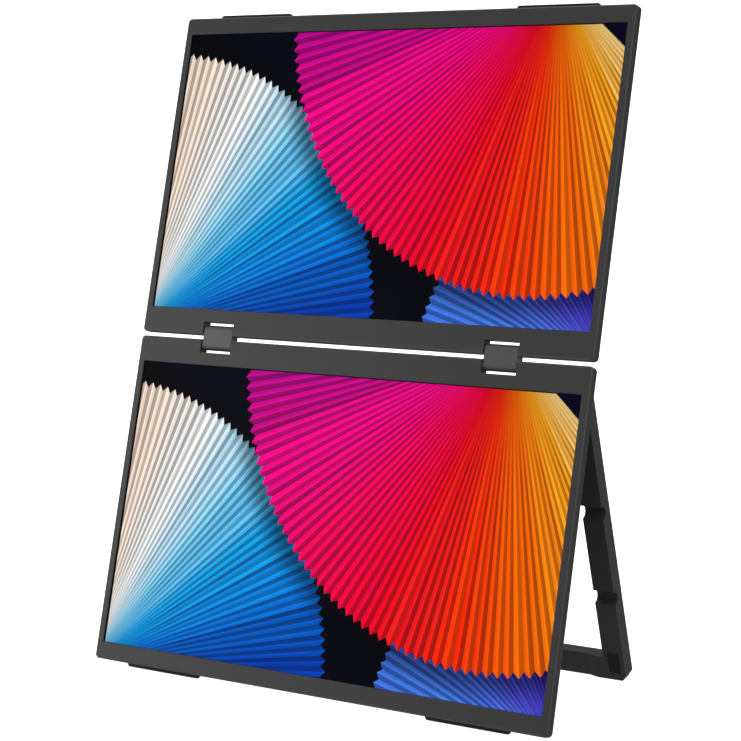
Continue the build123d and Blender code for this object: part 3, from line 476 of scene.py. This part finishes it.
# Stand frame: a stiff U moulded in a slightly darker plastic, turning on pins in the housing. The
# washers between leg and housing are moulded in black nylon.
stand_satin, *_ = moulded("stand_satin", (42, 42, 43), 0.48, 0.26, 0.012)
washer_nylon, *_ = moulded("washer_nylon", (18, 18, 18), 0.42, 0.30, 0.006)
dress(stand_satin, "stand_frame")
dress(washer_nylon, "stand_washers")

# Floor: a broad round of white paper under the object that sweeps up into a wall all the way round,
# bright enough to lose its shadows. Only the camera sees it, so the light from below is the sky's.


def paper_sweep(name, flat, bend, wall, steps):
    """A round floor whose edge curves up, as a mesh.

    The profile, flat radius, quarter circle of the bend's radius, then wall, is turned about the
    upright axis in equal steps.
    """
    curve = np.linspace(0, np.pi / 2, 13)
    radius = np.concatenate([[0.01], flat + bend * np.sin(curve), [flat + bend]])
    height = np.concatenate([[0.0], bend - bend * np.cos(curve), [bend + wall]])
    turn = np.linspace(0, 2 * np.pi, steps, endpoint=False)
    x, y = radius[:, None] * np.cos(turn), radius[:, None] * np.sin(turn)
    points = np.stack([x, y, height[:, None] + 0 * x], -1)
    index = np.arange(len(radius) * steps).reshape(len(radius), steps)
    next_on = np.roll(index, -1, 1)
    quads = np.stack([index[:-1], index[1:], next_on[1:], next_on[:-1]], -1).reshape(-1, 4)
    mesh = bpy.data.meshes.new(name)
    mesh.from_pydata(points.reshape(-1, 3), [], [*quads.tolist(), index[0].tolist()])
    mesh.polygons.foreach_set("use_smooth", np.ones(len(mesh.polygons), bool))
    return mesh


floor_mesh = paper_sweep("paper_floor", 6.0, 2.0, 6.0, 96)
floor = bpy.data.objects.new("paper_floor", floor_mesh)
bpy.context.scene.collection.objects.link(floor)
material, shader, place = new_finish("pale_paper")
tooth = place.node("TexNoise", {"Vector": place, "Scale": 0.8, "Detail": 3.0})
feed(shader, Base_Color=tooth.blend((0.78, 0.78, 0.78, 1.0), (0.82, 0.82, 0.82, 1.0)), Roughness=0.9)
feed(shader, Specular_IOR_Level=0.0, Emission_Color=(1.0, 1.0, 1.0, 1.0), Emission_Strength=0.95)
floor_mesh.materials.append(material)
floor.visible_diffuse = False
floor.visible_glossy = False
floor.visible_shadow = False

# Light: a white sky that is dim below the horizon, a large soft box close on the left, a weaker one
# above, a smaller one on the right that picks out the rounded rims, and one behind.
sky_low = 0.30
sky_level = 0.0
sky_high = 0.80
sky_strength = 1.6
world = bpy.data.worlds.new("studio_sky")
world.use_nodes = True
bpy.context.scene.world = world
sky = Wire(world.node_tree)
height = sky.node("SeparateXYZ", {0: sky.node("TexCoord", result="Generated")}, 2)
levels = [(0.42, (sky_low,) * 3), (0.55, (sky_level,) * 3), (1.0, (sky_high,) * 3)]
glow = height.node("ValToRGB", {0: 0.5 + 0.5 * height}, stops=levels)
backdrop = world.node_tree.nodes["Background"].inputs
world.node_tree.links.new(glow.socket, backdrop["Color"])
backdrop["Strength"].default_value = sky_strength


def soft_box(name, place, aim, size, power):
    """A square lamp of that size at a place, turned to face a point."""
    lamp = bpy.data.lights.new(name, "AREA")
    lamp.shape = "SQUARE"
    lamp.size = size
    lamp.energy = power
    held = bpy.data.objects.new(name, lamp)
    bpy.context.scene.collection.objects.link(held)
    toward = Vector(aim) - Vector(place)
    held.location = place
    held.rotation_euler = toward.to_track_quat("-Z", "Y").to_euler()


soft_box("left_box", (-1.05, -0.75, 0.42), (0.0, 0.0, 0.22), 0.9, 8.6)
soft_box("top_box", (0.1, -0.5, 1.7), (0.0, 0.0, 0.2), 1.0, 2.6)
soft_box("right_box", (1.3, -0.78, 0.68), (0.0, 0.0, 0.2), 0.6, 8.0)
soft_box("back_box", (-0.3, 1.9, 0.1), (0.0, 0.0, 0.2), 1.0, 14.0)
bpy.context.scene.view_settings.view_transform = "Standard"
bpy.context.scene.view_settings.look = "None"

# Camera: a long lens to the right of the screens, held as in the photograph. Its place and axes are
# along the screens' own right, up and out.
image_side = 741.0
focal_pixels = 2195.580
middle_pixel = (375.327, 309.544)
camera_place = (0.811653, -0.136739, 1.170645)
camera_right = (0.827597, 0.133113, -0.545311)
camera_down = (0.047215, -0.984540, -0.168675)
screen_axes = np.stack([right, up, out])
stand_point = gap_middle + np.array(camera_place) @ screen_axes
x_axis = np.array(camera_right) @ screen_axes
y_axis = -np.array(camera_down) @ screen_axes
z_axis = np.cross(x_axis, y_axis)
camera = bpy.data.objects.new("camera", bpy.data.cameras.new("camera"))
bpy.context.scene.collection.objects.link(camera)
camera.data.sensor_width = 36.0
camera.data.lens = focal_pixels / image_side * camera.data.sensor_width
camera.data.shift_x = 0.5 - middle_pixel[0] / image_side
camera.data.shift_y = middle_pixel[1] / image_side - 0.5
camera.data.clip_end = 50.0
turned_to = np.stack([x_axis, y_axis, z_axis, stand_point], 1)
camera.matrix_world = Matrix([*turned_to.tolist(), (0.0, 0.0, 0.0, 1.0)])
bpy.context.scene.camera = camera
